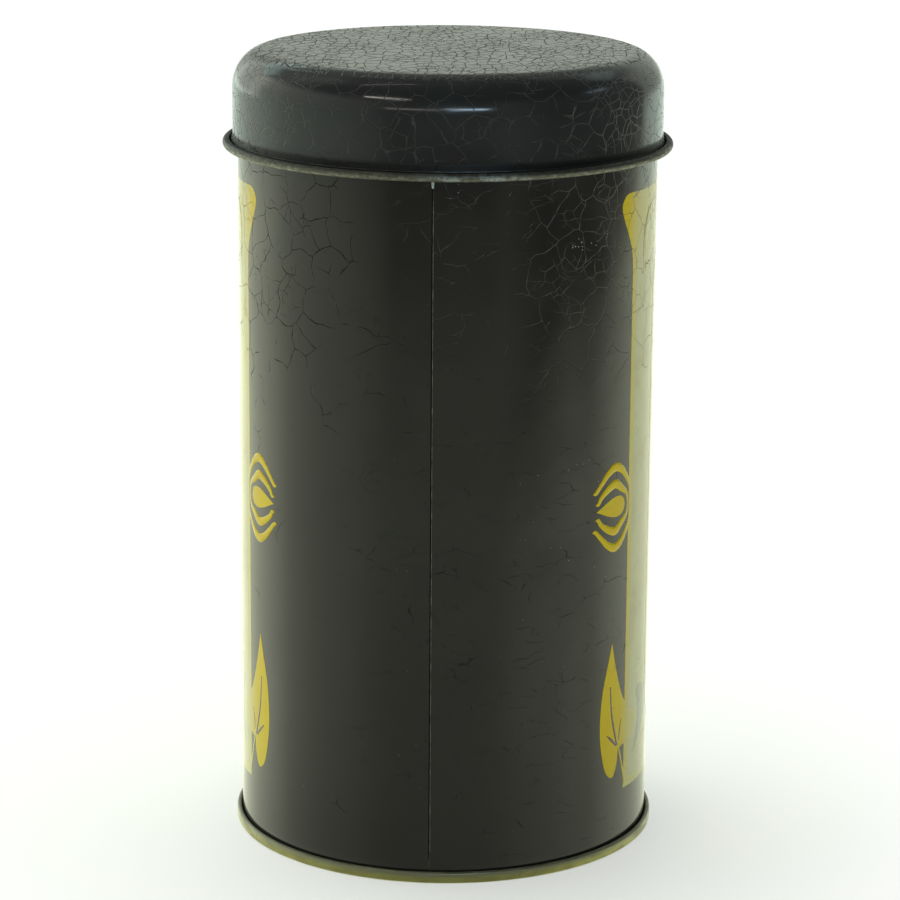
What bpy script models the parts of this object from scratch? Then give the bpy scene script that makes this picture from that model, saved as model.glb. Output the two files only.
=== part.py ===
"""A round, straight-sided tin with a slip-on lid, built the way a can maker builds it.

Three pieces of tinplate make the tin: a body rolled from one sheet and closed by a lock seam down
its back, a pressed bottom end double-seamed onto it round a sealing ring, and a deep-drawn lid
whose lower edge is curled outwards. The lock seam is soldered on the inside.

Frame: metres, +Z up, origin on the tin's axis at the plane it stands on. The side seam faces -Y.
"""

import math

import bmesh
import bpy
from mathutils import Vector

MM = 0.001

# Driving dimensions, all in metres.
BODY_RADIUS = 54.0 * MM  # outside of the body wall
OVERALL_HEIGHT = 206.0 * MM
BODY_HEIGHT = 197.8 * MM  # to the top of the mouth
BODY_GAUGE = 0.28 * MM
END_GAUGE = 0.28 * MM
LID_GAUGE = 0.30 * MM
SEGMENTS = 60  # facets round every turned piece
MERGE_DISTANCE = 0.01 * MM

# Lid.
LID_RADIUS = 55.34 * MM  # outside of the skirt
LID_PANEL_RADIUS = 46.8 * MM  # the flat top, inside the shoulder
LID_SHOULDER_DROP = 9.6 * MM
LID_CURL_RADIUS = 1.18 * MM  # outside of the rolled edge
LID_CURL_OUTSIDE = 57.94 * MM
LID_CURL_HEIGHT = 182.15 * MM  # centre of the rolled edge
LID_FLARE_HEIGHT = 3.4 * MM  # where the skirt starts to lean out to its rolled edge

# Mouth of the body: a small outward curl that the lid slides over.
MOUTH_CURL_RADIUS = 0.40 * MM  # to the middle of the sheet

# Double seam at the foot. The five layers stand one pitch apart, counted from the body wall.
SEAM_PITCH = 0.48 * MM
SEAM_HEIGHT = 3.0 * MM
END_PANEL_HEIGHT = 4.2 * MM
END_PANEL_BEND = 0.8 * MM  # where the panel turns down to the foot
END_BEAD_RADIUS = 40.0 * MM
END_BEAD_WIDTH = 2.4 * MM
END_BEAD_RISE = 0.7 * MM
FOOT_CORNER = 0.45 * MM  # bend where the seam meets the ground
HOOK_TIP_CLEARANCE = 1.05 * MM  # end hook's tip above the ground
BODY_HOOK_TIP = 2.0 * MM  # body hook's tip above the ground
BODY_HOOK_CLEARANCE = 0.06 * MM  # body hook's bend above the foot's sheet, beyond one gauge

# Lock seam down the back. Its four layers stand one step apart.
LOCK_STEP = 0.34 * MM
LOCK_FOLD_AT = 0.60 * MM  # where the right-hand edge starts to fold under
LOCK_DIVE_AT = -0.45 * MM  # where the left-hand edge starts to dive inwards
LOCK_DIVE_END = -0.16 * MM  # where the left-hand edge runs straight inwards
LOCK_DIVE_BEND = 0.24 * MM  # its bends, to the middle of the sheet
LOCK_WIDTH = 3.6 * MM
LOCK_FOLD_SHORT = 0.4 * MM  # by which the right-hand hook stops short of the left-hand one's bend
LOCK_HOOK_SHORT = 0.1 * MM  # by which the left-hand hook stops short of the fold
LOCK_LAP = 0.5 * MM  # gap between the two edges above and below the hooks
LOCK_BOTTOM = 5.0 * MM
LOCK_TOP = BODY_HEIGHT - 2.2 * MM

SOLDER_LEG = 0.75 * MM
SOLDER_GAP = 0.10 * MM
RING_GAP = 0.10 * MM

WALL_MIDDLE = BODY_RADIUS - BODY_GAUGE / 2


def clear_scene():
    for obj in list(bpy.data.objects):
        bpy.data.objects.remove(obj)


def make_material(name, colour, roughness, metallic):
    material = bpy.data.materials.new(name)
    material.use_nodes = True
    shader = material.node_tree.nodes["Principled BSDF"]
    shader.inputs["Base Color"].default_value = (*colour, 1.0)
    shader.inputs["Roughness"].default_value = roughness
    shader.inputs["Metallic"].default_value = metallic
    return material


def arc(centre, radius, start, end, steps):
    """Points (r, z) on an arc from start to end, in degrees, both ends included."""
    turn = [math.radians(start + (end - start) * i / steps) for i in range(steps + 1)]
    return [(centre[0] + radius * math.cos(a), centre[1] + radius * math.sin(a)) for a in turn]


def ellipse_quarter(centre, across, down, steps):
    """Points (r, z) from the top of an ellipse to its outermost point."""
    turn = [math.radians(90 * (1 - i / steps)) for i in range(steps + 1)]
    return [(centre[0] + across * math.cos(a), centre[1] + down * math.sin(a)) for a in turn]


def add_object(name, mesh, material, collection):
    obj = bpy.data.objects.new(name, mesh)
    obj.data.materials.append(material)
    collection.objects.link(obj)
    return obj


def add_thickness(obj, gauge):
    shell = obj.modifiers.new("gauge", "SOLIDIFY")
    shell.thickness = gauge
    shell.offset = 0.0
    shell.use_even_offset = True


def shade_round(obj):
    obj.data.shade_smooth()
    obj.data.set_sharp_from_angle(angle=math.radians(35))


def turned(name, profile, material, collection, closed=False):
    """A profile of (r, z) points, left open or closed into a ring, turned about Z."""
    mesh = bpy.data.meshes.new(name)
    last = len(profile) if closed else len(profile) - 1
    edges = [(i, (i + 1) % len(profile)) for i in range(last)]
    mesh.from_pydata([(r, 0.0, z) for r, z in profile], edges, [])
    obj = add_object(name, mesh, material, collection)
    screw = obj.modifiers.new("turn", "SCREW")
    screw.axis = "Z"
    screw.angle = math.tau
    screw.steps = SEGMENTS
    screw.render_steps = SEGMENTS
    screw.use_merge_vertices = True
    screw.merge_threshold = MERGE_DISTANCE
    screw.use_smooth_shade = not closed
    return obj


def turned_sheet(name, profile, gauge, material, collection):
    """A sheet turned about Z. The profile is the middle of the sheet, as (r, z) points."""
    obj = turned(name, profile, material, collection)
    add_thickness(obj, gauge)
    return obj


def lid_profile():
    """Middle of the lid's sheet: flat panel, shoulder, skirt, flare and outward curl."""
    half = LID_GAUGE / 2
    top = OVERALL_HEIGHT - half
    skirt = LID_RADIUS - half
    curl_middle = LID_CURL_RADIUS - half
    curl_centre = (LID_CURL_OUTSIDE - LID_CURL_RADIUS, LID_CURL_HEIGHT)
    shoulder_centre = (LID_PANEL_RADIUS, top - LID_SHOULDER_DROP)
    points = [(0.0, top)]
    points += ellipse_quarter(shoulder_centre, skirt - LID_PANEL_RADIUS, LID_SHOULDER_DROP, 7)
    points += [(skirt, LID_CURL_HEIGHT + LID_FLARE_HEIGHT)]
    points += arc(curl_centre, curl_middle, 180, 480, 10)
    return points


def make_lid(material, collection):
    return turned_sheet("lid", lid_profile(), LID_GAUGE, material, collection)


def seam_layer(number):
    """Radius of a layer of the double seam: 0 chuck wall, 1 body wall, 2 to 4 the hooks outside it."""
    return WALL_MIDDLE + (number - 1) * SEAM_PITCH


def end_profile():
    """Middle of the bottom end: beaded panel, chuck wall, foot, outer wall and end hook."""
    half = END_GAUGE / 2
    chuck = seam_layer(0)
    outer = seam_layer(4)
    fold_centre = (seam_layer(3), SEAM_HEIGHT - half - SEAM_PITCH)
    bend_centre = (chuck - END_PANEL_BEND, END_PANEL_HEIGHT - END_PANEL_BEND)
    points = [
        (0.0, END_PANEL_HEIGHT),
        (END_BEAD_RADIUS - END_BEAD_WIDTH, END_PANEL_HEIGHT),
        (END_BEAD_RADIUS - END_BEAD_WIDTH / 3, END_PANEL_HEIGHT + END_BEAD_RISE),
        (END_BEAD_RADIUS + END_BEAD_WIDTH / 3, END_PANEL_HEIGHT + END_BEAD_RISE),
        (END_BEAD_RADIUS + END_BEAD_WIDTH, END_PANEL_HEIGHT),
    ]
    points += arc(bend_centre, END_PANEL_BEND, 90, 0, 3)
    points += arc((chuck + FOOT_CORNER, half + FOOT_CORNER), FOOT_CORNER, 180, 270, 3)
    points += arc((outer - FOOT_CORNER, half + FOOT_CORNER), FOOT_CORNER, 270, 360, 3)
    points += arc(fold_centre, SEAM_PITCH, 0, 180, 6)
    points += [(seam_layer(2), HOOK_TIP_CLEARANCE)]
    return points


def make_bottom_end(material, collection):
    return turned_sheet("bottom_end", end_profile(), END_GAUGE, material, collection)


def make_sealing_ring(material, collection):
    """The sealing compound between the body hook's tip and the fold of the end above it."""
    half_width = SEAM_PITCH - END_GAUGE / 2 - RING_GAP
    low = BODY_HOOK_TIP + RING_GAP
    fold_inside = SEAM_PITCH - END_GAUGE / 2
    fold_centre = SEAM_HEIGHT - END_GAUGE / 2 - SEAM_PITCH
    high = fold_centre + math.sqrt(fold_inside**2 - half_width**2) - RING_GAP / 2
    middle = seam_layer(3)
    corners = [
        (middle + half_width, high),
        (middle + half_width, low),
        (middle - half_width, low),
        (middle - half_width, high),
    ]
    return turned("sealing_ring", corners, material, collection, closed=True)


def wall_profile():
    """Middle of the body sheet, from the body hook's tip, round under the wall and up to the mouth."""
    wall = seam_layer(1)
    bend_centre = (seam_layer(2), END_GAUGE / 2 + 2 * SEAM_PITCH + BODY_HOOK_CLEARANCE)
    mouth_top = BODY_HEIGHT - BODY_GAUGE / 2
    curl_centre = (wall + MOUTH_CURL_RADIUS, mouth_top - MOUTH_CURL_RADIUS)
    points = [(seam_layer(3), BODY_HOOK_TIP)]
    points += arc(bend_centre, SEAM_PITCH, 0, -180, 6)
    points += [(wall, LOCK_BOTTOM), (wall, LOCK_TOP)]
    points += arc(curl_centre, MOUTH_CURL_RADIUS, 180, -80, 8)
    return points


def seam_point(across, depth, z):
    """A point at the seam: across along the wall to the right, depth in from the sheet's middle."""
    angle = -math.pi / 2 + across / WALL_MIDDLE
    radius = WALL_MIDDLE - depth
    return Vector((radius * math.cos(angle), radius * math.sin(angle), z))


def folded_edge():
    """(across, depth) of the right-hand edge: it folds under itself and runs back to the right."""
    middle = (LOCK_FOLD_AT, LOCK_STEP)
    turn = [math.radians(90 + 180 * i / 6) for i in range(1, 7)]
    fold = [(middle[0] + LOCK_STEP * math.cos(a), middle[1] - LOCK_STEP * math.sin(a)) for a in turn]
    return fold + [(LOCK_WIDTH - LOCK_FOLD_SHORT, 2 * LOCK_STEP)]


def diving_edge():
    """(across, depth) of the left-hand edge: it dives under the fold and hooks back inside it."""
    dive, bend = LOCK_DIVE_END, LOCK_DIVE_BEND
    inmost = 3 * LOCK_STEP
    top = [math.radians(90 - 30 * i) for i in range(1, 4)]
    path = [(dive - bend + bend * math.cos(a), bend - bend * math.sin(a)) for a in top]
    low = [math.radians(180 + 30 * i) for i in range(0, 4)]
    path += [(dive + bend + bend * math.cos(a), inmost - bend - bend * math.sin(a)) for a in low]
    back = [math.radians(-90 + 30 * i) for i in range(0, 7)]
    middle = (LOCK_WIDTH, 2 * LOCK_STEP)
    path += [(middle[0] + LOCK_STEP * math.cos(a), middle[1] - LOCK_STEP * math.sin(a)) for a in back]
    return path + [(LOCK_FOLD_AT + LOCK_HOOK_SHORT, LOCK_STEP)]


def add_strip(mesh, first_column, path, levels):
    """Continues the sheet from a column of vertices along a path of (across, depth) points."""
    columns = [first_column]
    for across, depth in path:
        columns.append([mesh.verts.new(seam_point(across, depth, z)) for z in levels])
    for left, right in zip(columns, columns[1:]):
        for row in range(len(levels) - 1):
            mesh.faces.new((left[row], right[row], right[row + 1], left[row + 1]))


def make_body_wall(material, collection):
    """The body's one sheet: rolled round, flanged, curled at the mouth and hooked into itself."""
    profile = wall_profile()
    first = -math.pi / 2 + LOCK_FOLD_AT / WALL_MIDDLE
    last = 1.5 * math.pi + LOCK_DIVE_AT / WALL_MIDDLE
    step = math.tau / SEGMENTS
    angles = [first] + [-math.pi / 2 + step * i for i in range(1, SEGMENTS)] + [last]

    mesh = bmesh.new()
    grid = [
        [mesh.verts.new((r * math.cos(a), r * math.sin(a), z)) for r, z in profile] for a in angles
    ]
    for left, right in zip(grid, grid[1:]):
        for row in range(len(profile) - 1):
            mesh.faces.new((left[row], right[row], right[row + 1], left[row + 1]))

    straight = [row for row, point in enumerate(profile) if point[1] in (LOCK_BOTTOM, LOCK_TOP)]
    levels = [profile[row][1] for row in straight]
    add_strip(mesh, [grid[0][row] for row in straight], folded_edge(), levels)
    add_strip(mesh, [grid[-1][row] for row in straight], diving_edge(), levels)

    # Above and below the hooks, the right-hand edge runs on until it almost meets the other.
    lap_angle = -math.pi / 2 + (LOCK_DIVE_AT + LOCK_LAP) / WALL_MIDDLE
    for rows in (range(0, straight[0]), range(straight[1] + 1, len(profile))):
        lap = []
        for r, z in (profile[row] for row in rows):
            lap.append(mesh.verts.new((r * math.cos(lap_angle), r * math.sin(lap_angle), z)))
        for i, row in enumerate(rows[:-1]):
            mesh.faces.new((lap[i], grid[0][row], grid[0][row + 1], lap[i + 1]))

    bmesh.ops.recalc_face_normals(mesh, faces=mesh.faces)
    data = bpy.data.meshes.new("body_wall")
    mesh.to_mesh(data)
    mesh.free()
    obj = add_object("body_wall", data, material, collection)
    add_thickness(obj, BODY_GAUGE)
    shade_round(obj)
    return obj


def make_seam_solder(material, collection):
    """A fillet of solder in the corner where the lock seam's hook meets the wall inside."""
    hook_edge = LOCK_WIDTH + LOCK_STEP + BODY_GAUGE / 2 + SOLDER_GAP
    wall_inside = BODY_GAUGE / 2 + SOLDER_GAP
    corners = [
        (hook_edge, wall_inside),
        (hook_edge + SOLDER_LEG, wall_inside),
        (hook_edge, wall_inside + SOLDER_LEG),
    ]
    mesh = bmesh.new()
    levels = (LOCK_BOTTOM + 1 * MM, LOCK_TOP - 1 * MM)
    rings = [[mesh.verts.new(seam_point(across, depth, z)) for across, depth in corners] for z in levels]
    mesh.faces.new(rings[0])
    mesh.faces.new(list(reversed(rings[1])))
    for i in range(3):
        j = (i + 1) % 3
        mesh.faces.new((rings[0][i], rings[1][i], rings[1][j], rings[0][j]))
    bmesh.ops.recalc_face_normals(mesh, faces=mesh.faces)
    data = bpy.data.meshes.new("seam_solder")
    mesh.to_mesh(data)
    mesh.free()
    return add_object("seam_solder", data, material, collection)


def main():
    clear_scene()
    tin = bpy.data.collections.new("cookie_tin")
    bpy.context.scene.collection.children.link(tin)

    body_black = make_material("body_black_lacquer", (0.014, 0.013, 0.012), 0.22, 0.0)
    lid_black = make_material("lid_black_lacquer", (0.013, 0.014, 0.014), 0.20, 0.0)
    end_gold = make_material("gold_lacquered_tinplate", (0.34, 0.33, 0.12), 0.42, 0.6)
    solder_grey = make_material("solder", (0.45, 0.46, 0.46), 0.45, 0.9)
    ring_grey = make_material("sealing_compound", (0.16, 0.15, 0.14), 0.8, 0.0)

    make_body_wall(body_black, tin)
    make_seam_solder(solder_grey, tin)
    make_bottom_end(end_gold, tin)
    make_sealing_ring(ring_grey, tin)
    make_lid(lid_black, tin)


main()
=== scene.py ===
"""An old biscuit tin, black-lacquered and printed in yellow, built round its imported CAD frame.

The frame is in metres, +Z up, with the tin's axis on Z and its side seam facing -Y. The printed
panel faces +Y and its ornament wraps round both sides, so places on the wall are given as
(along, height): the distance round the wall from the side seam, and the height above the foot.
"""

import math
from functools import reduce

import bmesh
import bpy
import numpy as np
from mathutils import Euler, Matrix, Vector


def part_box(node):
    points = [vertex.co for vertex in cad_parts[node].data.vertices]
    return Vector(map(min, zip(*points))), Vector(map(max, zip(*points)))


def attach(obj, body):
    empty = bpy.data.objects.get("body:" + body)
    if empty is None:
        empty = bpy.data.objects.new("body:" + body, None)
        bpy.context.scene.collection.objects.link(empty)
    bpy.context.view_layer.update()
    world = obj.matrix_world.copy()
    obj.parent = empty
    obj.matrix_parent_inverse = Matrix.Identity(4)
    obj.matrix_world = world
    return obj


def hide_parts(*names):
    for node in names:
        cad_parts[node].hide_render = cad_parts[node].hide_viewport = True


MM = 0.001

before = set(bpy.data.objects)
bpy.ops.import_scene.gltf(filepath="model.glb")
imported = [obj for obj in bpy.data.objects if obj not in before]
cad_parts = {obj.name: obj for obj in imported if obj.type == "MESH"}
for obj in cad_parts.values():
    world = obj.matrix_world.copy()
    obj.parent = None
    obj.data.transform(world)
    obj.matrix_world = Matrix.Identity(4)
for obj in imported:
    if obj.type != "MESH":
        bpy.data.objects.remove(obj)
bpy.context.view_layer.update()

# ------------ sizes, read from the frame

WALL_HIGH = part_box("body_wall")[1]
END_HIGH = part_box("bottom_end")[1]
LID_LOW, LID_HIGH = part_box("lid")

WALL_GAUGE = 0.28 * MM
END_GAUGE = 0.28 * MM
LID_GAUGE = 0.30 * MM
SEAM_PITCH = 0.48 * MM  # from one layer of the double seam to the next

HOOK_RADIUS = WALL_HIGH.x - WALL_GAUGE / 2  # middle of the body hook, the wall's widest turn
WALL_MIDDLE = HOOK_RADIUS - 2 * SEAM_PITCH
WALL_RADIUS = WALL_MIDDLE + WALL_GAUGE / 2
MOUTH_TOP = WALL_HIGH.z
MOUTH_ROLL = 0.40 * MM  # to the middle of the sheet
HOOK_TIP = 2.0 * MM

LID_TOP = LID_HIGH.z
CURL_RADIUS = 1.18 * MM
CURL_OUTSIDE = LID_HIGH.x - 0.02 * MM
CURL_HEIGHT = LID_LOW.z + CURL_RADIUS + 0.02 * MM
LID_RADIUS = CURL_OUTSIDE - 2.6 * MM
LID_TOP_EDGE = (LID_TOP - 1.6 * MM, LID_TOP - 0.5 * MM)  # heights
LID_PANEL_RADIUS = 46.8 * MM
LID_SHOULDER_DROP = 9.6 * MM
LID_FLARE = 3.4 * MM  # height over which the skirt leans out to its rolled edge

SEAM_TOP = 3.0 * MM
END_PANEL_HEIGHT = END_HIGH.z - 0.84 * MM
END_BEADS = (40.0 * MM, 30.0 * MM)
END_BEAD_RISE = 0.7 * MM
END_BEAD_WIDTH = 1.7 * MM
FOOT_CORNER = 0.45 * MM

# The lock seam down the back.
GROOVE_DEPTH = 0.42 * MM
GROOVE_FLOOR = -0.06 * MM  # where the folded edge stands on the dived one
GROOVE_DIVE = 0.26 * MM  # width over which the left-hand sheet dives in
FOLD_RADIUS = 0.34 * MM
LOCK_END = 4.08 * MM
LOCK_RISE = 1.02 * MM
LOCK_BOTTOM = 5.0 * MM
LOCK_TOP = MOUTH_TOP - 2.2 * MM
LOCK_FADE = 3 * MM

HALF_ROUND = math.pi * WALL_RADIUS

# The print, laid out flat as (along, height), in mm.
MIDDLE = HALF_ROUND / MM  # of the panel
EDGE = 60.3
PANEL_TOP = 173.6
PANEL_FOOT = 16.0
PANEL_SILL = 15.8
BORDER = 2.2
LEFT_SHIFT = 1.4  # by which the print on the seam's left stands farther from it


# ------------ node helpers


class Nodes:
    """Adds nodes to a tree. A value is a number, a place, a colour (red, green, blue) or a node's output."""

    def __init__(self, tree):
        self.tree = tree

    def add(self, kind, inputs=(), **settings):
        node = self.tree.nodes.new(kind)
        for name, value in settings.items():
            setattr(node, name, value)
        for key, value in dict(inputs).items():
            self.put(node.inputs[key], value)
        return node

    def put(self, socket, value):
        if isinstance(value, bpy.types.NodeSocket):
            self.tree.links.new(value, socket)
        elif value is not None:
            socket.default_value = (*value, 1.0) if socket.type == "RGBA" else value

    def maths(self, operation, first, second=None, third=None, kind="ShaderNodeMath"):
        inputs = {i: v for i, v in enumerate((first, second, third)) if v is not None}
        return self.add(kind, inputs, operation=operation).outputs[0]

    def times(self, *values):
        return reduce(lambda a, b: self.maths("MULTIPLY", a, b), values)

    def plus(self, first, second):
        return self.maths("ADD", first, second)

    def minus(self, first, second):
        return self.maths("SUBTRACT", first, second)

    def over(self, first, second):
        return self.maths("DIVIDE", first, second)

    def most(self, *values):
        return reduce(lambda a, b: self.maths("MAXIMUM", a, b), values)

    def length(self, x, y):
        return self.maths("SQRT", self.plus(self.times(x, x), self.times(y, y)))

    def toned(self, value, where, factor, smooth=True):
        """The value, and the value times a factor where `where` is 1."""
        return self.times(value, self.ramp(where, 0, 1, 1.0, factor, smooth))

    def shape(self, kind, inputs=(), **settings):
        """The first output of a geometry node."""
        return self.add("GeometryNode" + kind, inputs, **settings).outputs[0]

    def vector(self, operation, first, second=None):
        return self.maths(operation, first, second, kind="ShaderNodeVectorMath")

    def scaled(self, vector, factor):
        return self.add("ShaderNodeVectorMath", {0: vector, "Scale": factor}, operation="SCALE").outputs[0]

    def ramp(self, value, start, end, low=0.0, high=1.0, smooth=True):
        """The value, carried from start..end to low..high and held outside."""
        inputs = {"Value": value, 1: start, 2: end, 3: low, 4: high}
        kind = "SMOOTHSTEP" if smooth else "LINEAR"
        return self.add("ShaderNodeMapRange", inputs, interpolation_type=kind).outputs["Result"]

    def parts(self, vector):
        return self.add("ShaderNodeSeparateXYZ", {0: vector}).outputs

    def joined(self, x, y, z):
        return self.add("ShaderNodeCombineXYZ", {0: x, 1: y, 2: z}).outputs[0]

    def noise(self, vector, scale, detail=2.0, roughness=0.5, output="Fac"):
        inputs = {"Vector": vector, "Scale": scale, "Detail": detail, "Roughness": roughness}
        return self.add("ShaderNodeTexNoise", inputs).outputs[output]

    def mix(self, factor, first, second):
        node = self.add("ShaderNodeMix", data_type="RGBA")
        for socket, value in ((node.inputs[0], factor), (node.inputs[6], first), (node.inputs[7], second)):
            self.put(socket, value)
        return node.outputs[2]


def linked(name, data):
    made = bpy.data.objects.new(name, data)
    bpy.context.scene.collection.objects.link(made)
    return made


def plain_mesh(name, verts, edges=(), faces=()):
    mesh = bpy.data.meshes.new(name)
    mesh.from_pydata(verts, edges, faces)
    return mesh


def held(value):
    return min(max(value, 0.0), 1.0)


# ------------ finishes


def crackle_group():
    """Shader group: the craze lines of an old varnish, as Line (1 in a crack) on Object coordinates."""
    tree = bpy.data.node_groups.new("Varnish crackle", "ShaderNodeTree")
    for name in ("Cell", "Width", "Wander", "Amount"):
        tree.interface.new_socket(name, in_out="INPUT", socket_type="NodeSocketFloat")
    tree.interface.new_socket("Vector", in_out="INPUT", socket_type="NodeSocketVector")
    tree.interface.new_socket("Line", in_out="OUTPUT", socket_type="NodeSocketFloat")
    n = Nodes(tree)
    given = n.add("NodeGroupInput").outputs
    place = given["Vector"]
    wander = n.vector("SUBTRACT", n.noise(place, 170.0, 1.0, output="Color"), (0.5, 0.5, 0.5))
    wandered = n.vector("ADD", place, n.scaled(wander, given["Wander"]))
    per_metre = n.over(1.0, given["Cell"])
    settings = {"voronoi_dimensions": "2D", "feature": "DISTANCE_TO_EDGE"}
    cells = n.add("ShaderNodeTexVoronoi", {"Vector": wandered, "Scale": per_metre}, **settings)
    distance = n.times(cells.outputs["Distance"], given["Cell"])
    presence = n.noise(place, 95.0, 2.0)
    threshold = n.minus(1.0, given["Amount"])
    shown = n.ramp(n.minus(presence, threshold), -0.06, 0.08)
    width = n.times(given["Width"], n.ramp(n.noise(place, 400.0), 0.3, 0.7, 0.45, 1.25))
    line = n.minus(1.0, n.ramp(n.over(distance, width), 0.35, 1.0))
    out = n.add("NodeGroupOutput")
    n.put(out.inputs["Line"], n.times(line, shown))
    return tree


def new_finish(name):
    finish = bpy.data.materials.new(name)
    finish.use_nodes = True
    n = Nodes(finish.node_tree)
    shader = finish.node_tree.nodes["Principled BSDF"]
    place = n.add("ShaderNodeTexCoord").outputs["Object"]
    return finish, n, shader, place


def crackle(n, place, cell, width, wander, amount):
    """Craze lines of these sizes in mm, over so much of the surface."""
    group = n.add("ShaderNodeGroup", node_tree=CRACKLE)
    sizes = {"Cell": cell * MM, "Width": width * MM, "Wander": wander * MM}
    for name, value in {**sizes, "Amount": amount, "Vector": place}.items():
        n.put(group.inputs[name], value)
    return group.outputs["Line"]


def unrolled(n, place, slope=0.0):
    """A point of the side rolled out flat: its way round from the seam, and up (less slope x radius)."""
    x, y, z = n.parts(place)
    turn = n.maths("ARCTAN2", x, n.times(y, -1.0))
    radius = n.length(x, y)
    up = n.minus(z, n.times(radius, slope))
    return n.joined(n.times(turn, WALL_RADIUS), up, 0.0)


def body_crackle(n, place):
    """Craze lines of the body: a net high on both sides of the seam, short level cracks lower down."""
    flat = unrolled(n, place)
    along, height, _ = n.parts(flat)
    high = n.ramp(height, n.ramp(along, -30 * MM, 20 * MM, 92 * MM, 108 * MM), 156 * MM)
    right = n.ramp(along, 12 * MM, 36 * MM)
    left = n.times(n.ramp(along, -7 * MM, -30 * MM), 0.85)
    crazed = n.times(high, n.most(right, left, 0.40))
    net = crackle(n, flat, 8.4, 0.16, 4.5, n.ramp(crazed, 0, 1, 0.34, 0.64))
    shifted = n.vector("ADD", flat, (0.3, 0.1, 0.0))
    fine = crackle(n, shifted, 4.4, 0.13, 2.4, n.ramp(crazed, 0, 1, 0.14, 0.47))
    flattened = n.vector("MULTIPLY", flat, (1.0, 2.6, 1.0))
    amount = n.ramp(along, -45 * MM, -5 * MM, 0.30, 0.43)
    level = crackle(n, flattened, 9.0, 0.24, 5.0, amount)
    return n.most(net, fine, n.times(level, 0.36))


def lid_crackle(n, place):
    """Craze lines of the lid, closest on its flat top."""
    z = n.parts(place)["Z"]
    on_top = n.ramp(z, *LID_TOP_EDGE)
    side = unrolled(n, place, 1.0)
    along = n.maths("ABSOLUTE", n.parts(side)["X"])
    round_end = n.ramp(along, 30 * MM, 60 * MM)
    flat = n.vector("MULTIPLY", place, (1.0, 0.58, 1.0))
    top_wide = crackle(n, flat, 3.0, 0.25, 1.6, 0.95)
    top_fine = crackle(n, n.vector("ADD", flat, (0.2, 0.1, 0.0)), 2.0, 0.15, 1.0, 0.55)
    side_wide = crackle(n, side, 6.4, 0.15, 3.4, n.ramp(round_end, 0, 1, 0.60, 0.80))
    amount = n.ramp(round_end, 0, 1, 0.42, 0.66)
    side_fine = crackle(n, n.vector("ADD", side, (0.2, 0.1, 0.0)), 3.4, 0.13, 2.0, amount)
    top = n.most(top_wide, n.times(top_fine, 0.8))
    round_side = n.most(side_wide, side_fine)
    return n.add("ShaderNodeMix", {0: on_top, 2: round_side, 3: top}, data_type="FLOAT").outputs[0]


def coat(n, shader, base, rough, metallic=0.0, height=None, distance=MM):
    """Sets a shader's colour, roughness and metal, and its relief from a pattern of heights."""
    values = {"Base Color": base, "Roughness": rough, "Metallic": metallic}
    if height is not None:
        values["Normal"] = n.add("ShaderNodeBump", {"Height": height, "Distance": distance}).outputs[0]
    for name, value in values.items():
        n.put(shader.inputs[name], value)


def varnish(n, shader, place, lines, base, crack, depth=0.06, dull=0.0, metallic=0.0):
    """Sets a glossy old varnish over the base colour, with these craze lines so deep (mm)."""
    haze = n.ramp(n.noise(place, 60.0, 4.0), 0.35, 0.75, 0.08, 0.18)
    rough = n.plus(haze, n.plus(n.times(lines, 0.4), dull))
    streaks = n.noise(n.vector("MULTIPLY", place, (1.0, 1.0, 0.03)), 150.0)
    swell = n.noise(place, 700.0, 2.0)
    height = n.plus(n.times(streaks, 0.012), n.times(swell, 0.003))
    height = n.minus(height, n.times(lines, depth))
    coat(n, shader, n.mix(n.times(lines, 0.85), base, crack), rough, metallic, height)


def body_black():
    finish, n, shader, place = new_finish("body_black_lacquer")
    mottle = n.ramp(n.noise(place, 45.0, 3.0), 0.35, 0.65)
    base = n.mix(mottle, (0.0132, 0.0116, 0.0110), (0.0142, 0.0142, 0.0122))
    along, height, _ = n.parts(unrolled(n, place))
    dusty = n.times(n.ramp(height, 100 * MM, 150 * MM), n.ramp(along, -34 * MM, 36 * MM))
    crack = n.mix(dusty, (0.004, 0.004, 0.003), (0.036, 0.033, 0.031))
    lines = body_crackle(n, place)
    sunk = n.times(lines, n.ramp(dusty, 0.45, 0.05), 0.75)
    varnish(n, shader, place, lines, base, crack, metallic=sunk)
    return finish


def lid_black():
    finish, n, shader, place = new_finish("lid_black_lacquer")
    mottle = n.ramp(n.noise(place, 60.0, 3.0), 0.35, 0.65)
    base = n.mix(mottle, (0.0172, 0.0172, 0.0168), (0.0172, 0.0192, 0.0192))
    z = n.parts(place)["Z"]
    on_top = n.ramp(z, *LID_TOP_EDGE)
    along = n.maths("ABSOLUTE", n.parts(unrolled(n, place))["X"])
    side = n.mix(n.ramp(along, 25 * MM, 55 * MM), (0.027, 0.025, 0.023), (0.044, 0.040, 0.038))
    crack = n.mix(on_top, side, (0.010, 0.008, 0.003))
    depth = n.ramp(on_top, 0, 1, 0.06, 0.16)
    # Rougher, and darker through metal over the dark base, in a band just above the rolled edge.
    darker_above_curl = n.ramp(z, CURL_HEIGHT + 3.6 * MM, CURL_HEIGHT + 2.2 * MM, 0.0, 0.40)
    varnish(n, shader, place, lid_crackle(n, place), base, crack, depth, darker_above_curl, n.times(darker_above_curl, 1.8))
    return finish


def yellow_ink():
    finish, n, shader, place = new_finish("yellow_print")
    wear = n.ramp(n.noise(place, 120.0, 4.0), 0.3, 0.75)
    base = n.mix(wear, (0.60, 0.475, 0.006), (0.60, 0.44, 0.007))
    along = n.maths("ABSOLUTE", n.parts(unrolled(n, place))["X"])
    base = n.mix(n.ramp(along, 57 * MM, 64 * MM), base, (0.53, 0.50, 0.19))
    shader.inputs["Specular IOR Level"].default_value = 0.14
    varnish(n, shader, place, body_crackle(n, place), base, (0.24, 0.18, 0.03))
    return finish


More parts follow.
